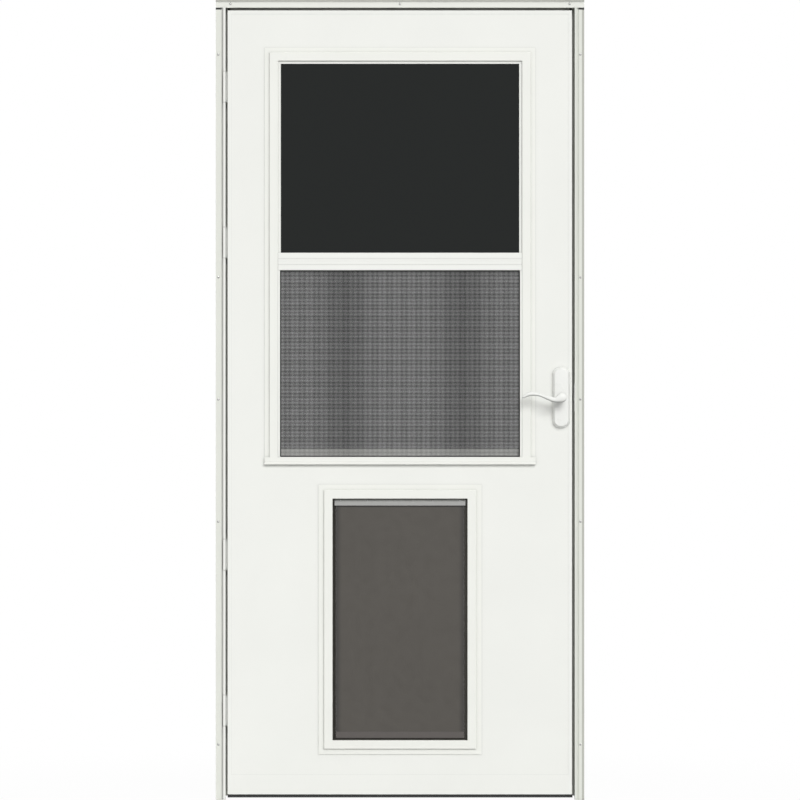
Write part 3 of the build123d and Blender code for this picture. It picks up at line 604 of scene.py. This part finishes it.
def build_casing_screws():
    """Heads over the casing's screw holes, and one more at the middle of the head bar."""
    mounts = {mount["name"]: mount for mount in record["mounts"]}
    head_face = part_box("head_z_bar")[0].y + HEAD_FLANGE_SETBACK
    places = []
    for name in ("side_screws_outer", "side_screws_inner", "side_screws_middle", "head_screws_outer"):
        mount = mounts[name]
        x, _, z = mount["pos_m"]
        half_x = mount["dims"]["spacing_x_mm"] * MM / 2
        half_z = mount["dims"].get("spacing_y_mm", 0.0) * MM / 2
        face = head_face if name.startswith("head") else SIDE_FLANGE_FACE
        for dx in (-half_x, half_x):
            for dz in sorted({-half_z, half_z}):
                places.append(Vector((x + dx, face, z + dz)))
    x, _, z = mounts["head_screws_outer"]["pos_m"]
    places.append(Vector((x, head_face, z)))
    heads = bmesh.new()
    recesses = bmesh.new()
    for place in places:
        add_pan_head(heads, recesses, place, -INDOORS, CASING_HEAD_RADIUS, CASING_HEAD_HEIGHT)
    finish_mesh("casing_screws", heads, "frame", materials["steel"])
    finish_mesh("casing_screw_recesses", recesses, "frame", recess_painted_shade, smooth=False)


def build_inside_plate_screws():
    low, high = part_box("inside_plate")
    heads = bmesh.new()
    recesses = bmesh.new()
    for z in (low.z + INSIDE_SCREW_INSET, high.z - INSIDE_SCREW_INSET):
        place = Vector(((low.x + high.x) / 2, high.y, z))
        add_pan_head(heads, recesses, place, INDOORS, INSIDE_HEAD_RADIUS, INSIDE_HEAD_HEIGHT)
    finish_mesh("inside_plate_screws", heads, "door_leaf", materials["steel"])
    finish_mesh("inside_plate_recesses", recesses, "door_leaf", recess_painted_shade, smooth=False)


def build_edge_screws():
    """Countersunk heads in the latch's faceplate and in the strike, with their crowns just proud."""
    latch_low, latch_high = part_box("latch_case")
    strike_low, strike_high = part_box("strike_plate")
    leaf_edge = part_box("latch_edge_channel")[1].x
    middle_y = (latch_low.y + latch_high.y) / 2
    groups = (
        ("faceplate_screws", "door_leaf", leaf_edge, RIGHT, latch_low.z, latch_high.z, FACEPLATE_SCREW_INSET),
        ("strike_screws", "frame", strike_low.x, -RIGHT, strike_low.z, strike_high.z, STRIKE_SCREW_INSET),
    )
    for name, body, x, facing, foot, top, inset in groups:
        heads = bmesh.new()
        recesses = bmesh.new()
        for z in (foot + inset, top - inset):
            place = Vector((x, middle_y, z))
            add_lathe(heads, EDGE_CROWN, place, facing, EDGE_SIDES)
            crown = place + facing * EDGE_RECESS_PLACE
            add_cross(recesses, crown, INDOORS, EDGE_RECESS_ARM, EDGE_RECESS_HALF)
        finish_mesh(name, heads, body, materials["steel"])
        finish_mesh(name + "_recesses", recesses, body, recess_painted_shade, smooth=False)


def build_rivets():
    """Rivet heads on the slanted upper half of the clamp bar."""
    profile = [(RIVET_RADIUS * across, RIVET_HEIGHT * up) for across, up in RIVET_PROFILE]
    profile.append((RIVET_RADIUS, -RIVET_ROOT))
    middle = (clamp_low.x + clamp_high.x) / 2
    rivets = bmesh.new()
    for offset in RIVET_PLACES:
        place = Vector((middle + offset, clamp_low.y + RIVET_SETBACK, clamp_high.z - RIVET_DROP))
        add_lathe(rivets, profile, place, RIVET_AXIS, RIVET_SIDES)
    finish_mesh("clamp_rivets", rivets, "door_leaf", materials["clamp_metal"])


# Lever handles: rounded grips that flow out of a domed hub

def hub_stations():
    """Stations round the hub's free end, where the lower outline mirrors the upper one."""
    stations = []
    for degrees in HUB_ANGLES:
        angle = math.radians(degrees)
        x = HUB_RADIUS * math.cos(angle)
        z = HUB_RADIUS * math.sin(angle)
        stations.append((x, z, x, -z, HUB_DEPTH * math.sin(angle) ** HUB_FULLNESS))
    return stations


def curve_value(t, before, start, end, after):
    """The value at t, from 0 to 1, on a smooth curve from start to end."""
    square = 2 * before - 5 * start + 4 * end - after
    cube = 3 * start - before - 3 * end + after
    return (2 * start + (end - before) * t + square * t * t + cube * t ** 3) / 2


def smooth_stations(stations):
    """More stations between the given ones, on a smooth curve through them all."""
    made = []
    last = len(stations) - 1
    for i in range(last):
        rows = (stations[max(i - 1, 0)], stations[i], stations[i + 1], stations[min(i + 2, last)])
        for step in range(STATION_STEPS):
            made.append([curve_value(step / STATION_STEPS, *values) for values in zip(*rows)])
    made.append(stations[last])
    return made


def add_lever(builder, front_y, face_y):
    """One lever: front_y is the hub's crown, face_y the leaf's face that the neck reaches."""
    inward = 1 if face_y > front_y else -1
    middle_y = front_y + inward * HUB_DEPTH * MM
    rings = []
    for x0, z0, x1, z1, depth in smooth_stations(hub_stations() + GRIP_STATIONS):
        middle = Vector((hub_x + (x0 + x1) / 2 * MM, middle_y, hub_z + (z0 + z1) / 2 * MM))
        half = Vector(((x0 - x1) / 2 * MM, 0.0, (z0 - z1) / 2 * MM))
        rings.append(add_ring(builder, middle, half, INDOORS * depth * MM, LEVER_SIDES))
    join_rings(builder, rings)
    for ring in (rings[0], rings[-1]):
        builder.faces.new(ring)
    reach = abs(face_y - front_y)
    neck = [(radius * MM, reach - HUB_DEPTH * MM * step) for radius, step in NECK_FLARE]
    neck.append((NECK_RADIUS * MM, 0.0))
    add_lathe(builder, neck, Vector((hub_x, face_y, hub_z)), INDOORS * -inward, NECK_SIDES)


def build_levers():
    for name in ("outside_lever", "inside_lever"):
        low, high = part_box(name)
        lever = bmesh.new()
        if name == "outside_lever":
            add_lever(lever, low.y, high.y)
        else:
            add_lever(lever, high.y, low.y)
        bmesh.ops.recalc_face_normals(lever, faces=lever.faces)
        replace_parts(finish_mesh(name + "_cast", lever, "lever", lever_paint), name)


# Outside plate: a cast plate with steep bevelled sides and rounded ends that come to a slight point

def plate_ring(builder, centre, half_width, half_height, end_height):
    """One outline of the plate: straight sides between two rounded ends."""
    shoulder = half_height - end_height
    ring = []
    for i in range(PLATE_SIDES):
        angle = 2 * math.pi * i / PLATE_SIDES
        share = math.cos(angle)
        z = shoulder + end_height * (1.0 - abs(share) ** PLATE_END_POWER) ** 0.5
        if angle > math.pi:
            z = -z
        ring.append(builder.verts.new(centre + RIGHT * half_width * share + UP * z))
    return ring


def build_outside_plate():
    low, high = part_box("outside_plate")
    middle = (low + high) / 2
    full_width = (high.x - low.x) / 2
    full_height = (high.z - low.z) / 2
    plate = bmesh.new()
    rings = []
    for side, end, back in PLATE_LEVELS:
        half_width = full_width - side * MM
        half_height = full_height - end * MM
        end_height = PLATE_END_HEIGHT * half_width / full_width
        centre = Vector((middle.x, low.y + back * MM, middle.z))
        rings.append(plate_ring(plate, centre, half_width, half_height, end_height))
    across, up = RIGHT * PLATE_HOLE_RADIUS, UP * PLATE_HOLE_RADIUS
    rings.append(add_ring(plate, Vector((hub_x, low.y, hub_z)), across, up, PLATE_SIDES))
    join_rings(plate, rings)
    bmesh.ops.recalc_face_normals(plate, faces=plate.faces)
    piece = finish_mesh("outside_plate_cast", plate, "door_leaf", materials["handle_paint"])
    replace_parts(piece, "outside_plate")


# Pet flap: one vinyl sheet held under its bar, and pile seals round the opening

def flap_shade(shader):
    """Factors that darken the sheet towards its side edges, and a painted shadow just below the bar."""
    place = shader.split(shader.place())
    middle_x = (panel_low.x + panel_high.x) / 2
    off_middle = shader.maths("ABSOLUTE", shader.maths("SUBTRACT", place["X"], middle_x))
    from_side = shader.maths("SUBTRACT", (panel_high.x - panel_low.x) / 2, off_middle)
    from_top = shader.maths("SUBTRACT", clamp_low.z, place["Z"])
    return (
        shader.ramp(from_side, 0.0, SIDE_SHADE_REACH, SIDE_SHADE, 1.0),
        shader.ramp(from_top, 0.0, TOP_SHADE_REACH, TOP_SHADE, 1.0),
    )


def add_sheet(builder, low, high, bend_top, bend_foot):
    """A closed sheet with close rows just below the bar, and faint waves below them."""
    xs = [low.x + (high.x - low.x) * i / SHEET_COLUMNS for i in range(SHEET_COLUMNS + 1)]
    zs = [low.z + (bend_foot - low.z) * i / HANGING_ROWS for i in range(HANGING_ROWS)]
    zs += [bend_foot + (bend_top - bend_foot) * i / BEND_ROWS for i in range(BEND_ROWS)]
    zs += [bend_top, high.z]
    sides = []
    for y in (low.y, high.y):
        grid = []
        for z in zs:
            wave = SHEET_WAVE * math.sin((z - low.z) * WAVES_UPRIGHT) if z < bend_foot else 0.0
            row = [(x, y + wave * math.sin((x - low.x) * WAVES_ACROSS), z) for x in xs]
            grid.append([builder.verts.new(point) for point in row])
        sides.append(grid)
    for grid in sides:
        for lower, upper in zip(grid, grid[1:]):
            for i in range(SHEET_COLUMNS):
                builder.faces.new((lower[i], lower[i + 1], upper[i + 1], upper[i]))
    front, back = sides
    for j in range(len(zs) - 1):
        for i in (0, SHEET_COLUMNS):
            builder.faces.new((front[j][i], back[j][i], back[j + 1][i], front[j + 1][i]))
    for j in (0, len(zs) - 1):
        for i in range(SHEET_COLUMNS):
            builder.faces.new((front[j][i], front[j][i + 1], back[j][i + 1], back[j][i]))


def build_flap():
    sheet_high = Vector((panel_high.x, panel_high.y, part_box("flap_top_band")[1].z))
    bend_top = clamp_low.z
    bend_foot = clamp_low.z - BEND_LENGTH
    sheet = bmesh.new()
    add_sheet(sheet, panel_low, sheet_high, bend_top, bend_foot)
    bmesh.ops.recalc_face_normals(sheet, faces=sheet.faces)
    material = vinyl("flap sheet", srgb(67, 63, 57), 0.38, 0.03, flap_shade)
    flap = finish_mesh("flap_sheet", sheet, None, material)
    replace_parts(flap, "flap_panel", "flap_top_band")
    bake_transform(flap)


def add_pile(builder, start, end, across, length, rows, width, rng):
    """Tapered fibres that stand along a line, in rows over a width in Y, and point across it."""
    side, other = square_vectors(across)
    count = int((end - start).length / PILE_PITCH)
    for i in range(count):
        for row in range(rows):
            root = start.lerp(end, (i + rng.random()) / count)
            root.y += (row / (rows - 1) - 0.5) * width
            lean = Vector([rng.uniform(-1, 1) for _ in range(3)]) * PILE_LEAN
            tip = root + across * length * rng.uniform(PILE_SHORTEST, 1.0) + lean
            base = add_ring(builder, root, side * PILE_RADIUS, other * PILE_RADIUS, 3)
            top = builder.verts.new(tip)
            for k in range(3):
                builder.faces.new((base[k], base[(k + 1) % 3], top))


def build_pile_seals():
    """Pile at both sides of the sheet, beside the clamp bar's ends, and under the sheet."""
    rng = random.Random(PILE_SEED)
    pile = bmesh.new()
    walls = ((opening_low.x, RIGHT), (opening_high.x, -RIGHT))
    for wall, inwards in walls:
        start = Vector((wall, sheet_y, pile_foot + PILE_END_GAP))
        end = Vector((wall, sheet_y, clamp_low.z - PILE_END_GAP))
        add_pile(pile, start, end, inwards, SIDE_PILE_LENGTH, PILE_ROWS, PILE_WIDTH, rng)
    bar_y = (clamp_low.y + clamp_high.y) / 2
    bar_gap = clamp_low.x - opening_low.x - BAR_CLEARANCE
    for wall, inwards in walls:
        start = Vector((wall, bar_y, clamp_low.z - PILE_END_GAP))
        end = Vector((wall, bar_y, clamp_high.z - PILE_END_GAP))
        add_pile(pile, start, end, inwards, bar_gap, BAR_PILE_ROWS, BAR_PILE_WIDTH, rng)
    start = Vector((opening_low.x, sheet_y, pile_foot))
    end = Vector((opening_high.x, sheet_y, pile_foot))
    add_pile(pile, start, end, UP, FOOT_PILE_LENGTH, PILE_ROWS, PILE_WIDTH, rng)
    finish_mesh("pet_pile_seals", pile, "door_leaf", pile_fibre, smooth=False)


def build_pile_backing():
    """The strips that the pile stands in, and the thin fins in its middle, as plain boxes."""
    left, right = opening_low.x, opening_high.x
    foot, bar_foot, bar_top = pile_foot, clamp_low.z, clamp_high.z
    strips = (
        (left, left + STRIP_THICKNESS, foot, bar_foot, STRIP_WIDTH),
        (right - STRIP_THICKNESS, right, foot, bar_foot, STRIP_WIDTH),
        (left, right, foot, foot + STRIP_THICKNESS, STRIP_WIDTH),
        (left, panel_low.x - FIN_CLEARANCE, foot, bar_foot, FIN_WIDTH),
        (panel_high.x + FIN_CLEARANCE, right, foot, bar_foot, FIN_WIDTH),
        (left, right, foot, panel_low.z - FIN_CLEARANCE, FIN_WIDTH),
        (left, clamp_low.x - BAR_CLEARANCE, bar_foot, bar_top, FIN_WIDTH),
        (clamp_high.x + BAR_CLEARANCE, right, bar_foot, bar_top, FIN_WIDTH),
    )
    backing = bmesh.new()
    for x0, x1, z0, z1, width in strips:
        for vert in bmesh.ops.create_cube(backing, size=1.0)["verts"]:
            x = x0 if vert.co.x < 0 else x1
            z = z0 if vert.co.z < 0 else z1
            vert.co = Vector((x, sheet_y + vert.co.y * width, z))
    finish_mesh("pet_pile_backing", backing, "door_leaf", pile_fibre, smooth=False)


turn = next(joint for joint in record["behaviour"]["joints"] if joint["name"] == "lever_turn")
hub_x, _, hub_z = turn["pos_m"]
panel_low, panel_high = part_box("flap_panel")
clamp_low, clamp_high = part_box("flap_clamp_bar")
opening_low, opening_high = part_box("flap_backing_bar")
sheet_y = (panel_low.y + panel_high.y) / 2
pile_foot = panel_low.z - FOOT_PILE_DROP

build_screen()
build_casing_screws()
build_inside_plate_screws()
build_edge_screws()
build_rivets()
build_levers()
build_outside_plate()
build_flap()
build_pile_seals()
build_pile_backing()


# Stage, light and camera

def white_rays(tree):
    """1 for what the camera sees, straight or by reflection or through glass, and 0 for light."""
    rays = tree.nodes.new("ShaderNodeLightPath").outputs
    total = rays["Is Camera Ray"]
    for kind in ("Is Glossy Ray", "Is Transmission Ray"):
        both = tree.nodes.new("ShaderNodeMath")
        both.operation = "ADD"
        both.use_clamp = True
        tree.links.new(total, both.inputs[0])
        tree.links.new(rays[kind], both.inputs[1])
        total = both.outputs["Value"]
    return total


def stage_floor():
    """A pale floor that keeps a faint shadow and fades into the white backdrop."""
    data = bpy.data.meshes.new("floor")
    disc = bmesh.new()
    bmesh.ops.create_circle(disc, cap_ends=True, segments=FLOOR_SIDES, radius=FLOOR_RADIUS)
    disc.to_mesh(data)
    disc.free()
    floor = bpy.data.objects.new("floor", data)
    bpy.context.scene.collection.objects.link(floor)
    floor.location = (DOOR_MIDDLE, 0.0, 0.0)
    material = bpy.data.materials.new("floor")
    material.use_nodes = True
    tree = material.node_tree
    tree.nodes.clear()
    output = tree.nodes.new("ShaderNodeOutputMaterial")
    matte = tree.nodes.new("ShaderNodeBsdfDiffuse")
    matte.inputs["Color"].default_value = (FLOOR_GREY, FLOOR_GREY, FLOOR_GREY, 1.0)
    glow = tree.nodes.new("ShaderNodeEmission")
    glow.inputs["Color"].default_value = (1.0, 1.0, 1.0, 1.0)
    coords = tree.nodes.new("ShaderNodeTexCoord")
    length = tree.nodes.new("ShaderNodeVectorMath")
    length.operation = "LENGTH"
    fade = tree.nodes.new("ShaderNodeMapRange")
    fade.interpolation_type = "SMOOTHSTEP"
    fade.inputs["From Min"].default_value = FADE_START
    fade.inputs["From Max"].default_value = FADE_END
    fade.inputs["To Min"].default_value = FADE_FROM
    fade.inputs["To Max"].default_value = 1.0
    share = tree.nodes.new("ShaderNodeMath")
    share.operation = "MULTIPLY"
    mix = tree.nodes.new("ShaderNodeMixShader")
    link = tree.links.new
    link(coords.outputs["Object"], length.inputs[0])
    link(length.outputs["Value"], fade.inputs["Value"])
    link(white_rays(tree), share.inputs[0])
    link(fade.outputs["Result"], share.inputs[1])
    link(share.outputs["Value"], mix.inputs["Fac"])
    link(matte.outputs["BSDF"], mix.inputs[1])
    link(glow.outputs["Emission"], mix.inputs[2])
    link(mix.outputs["Shader"], output.inputs["Surface"])
    data.materials.append(material)


def world_light(strength):
    """White where the camera or a reflection looks, and a soft even light on everything else."""
    world = bpy.data.worlds.new("studio")
    bpy.context.scene.world = world
    world.use_nodes = True
    tree = world.node_tree
    tree.nodes.clear()
    output = tree.nodes.new("ShaderNodeOutputWorld")
    lit = tree.nodes.new("ShaderNodeBackground")
    lit.inputs["Color"].default_value = (1.0, 1.0, 1.0, 1.0)
    lit.inputs["Strength"].default_value = strength
    seen = tree.nodes.new("ShaderNodeBackground")
    seen.inputs["Color"].default_value = (1.0, 1.0, 1.0, 1.0)
    mix = tree.nodes.new("ShaderNodeMixShader")
    tree.links.new(white_rays(tree), mix.inputs["Fac"])
    tree.links.new(lit.outputs["Background"], mix.inputs[1])
    tree.links.new(seen.outputs["Background"], mix.inputs[2])
    tree.links.new(mix.outputs["Shader"], output.inputs["Surface"])


def far_lamp(name, azimuth, height, strength):
    """A large far lamp at an angle round from the front, so that its light is even over the door."""
    light = bpy.data.lights.new(name, "SUN")
    light.energy = strength
    light.angle = math.radians(LAMP_SPREAD)
    lamp = bpy.data.objects.new(name, light)
    bpy.context.scene.collection.objects.link(lamp)
    a, h = math.radians(azimuth), math.radians(height)
    towards = Vector((math.sin(a), -math.cos(a), math.tan(h)))
    lamp.location = Vector((DOOR_MIDDLE, 0.0, LAMP_AIM)) + towards * LAMP_DISTANCE
    lamp.rotation_euler = (-towards).to_track_quat("-Z", "Y").to_euler()


def add_camera():
    """A long lens straight in front of the door, as the picture was taken."""
    data = bpy.data.cameras.new("camera")
    data.lens = LENS
    data.sensor_width = SENSOR
    data.clip_end = 100.0
    camera = bpy.data.objects.new("camera", data)
    bpy.context.scene.collection.objects.link(camera)
    distance = PICTURE_SPAN * LENS / SENSOR
    camera.location = (DOOR_MIDDLE, DOOR_FACE - distance, PICTURE_MIDDLE)
    camera.rotation_euler = (math.radians(90), 0.0, 0.0)
    bpy.context.scene.camera = camera


stage_floor()
world_light(FILL_STRENGTH)
far_lamp("key", KEY_AZIMUTH, KEY_HEIGHT, KEY_STRENGTH)
far_lamp("back", BACK_AZIMUTH, BACK_HEIGHT, BACK_STRENGTH)
add_camera()
bpy.context.scene.view_settings.view_transform = "Standard"
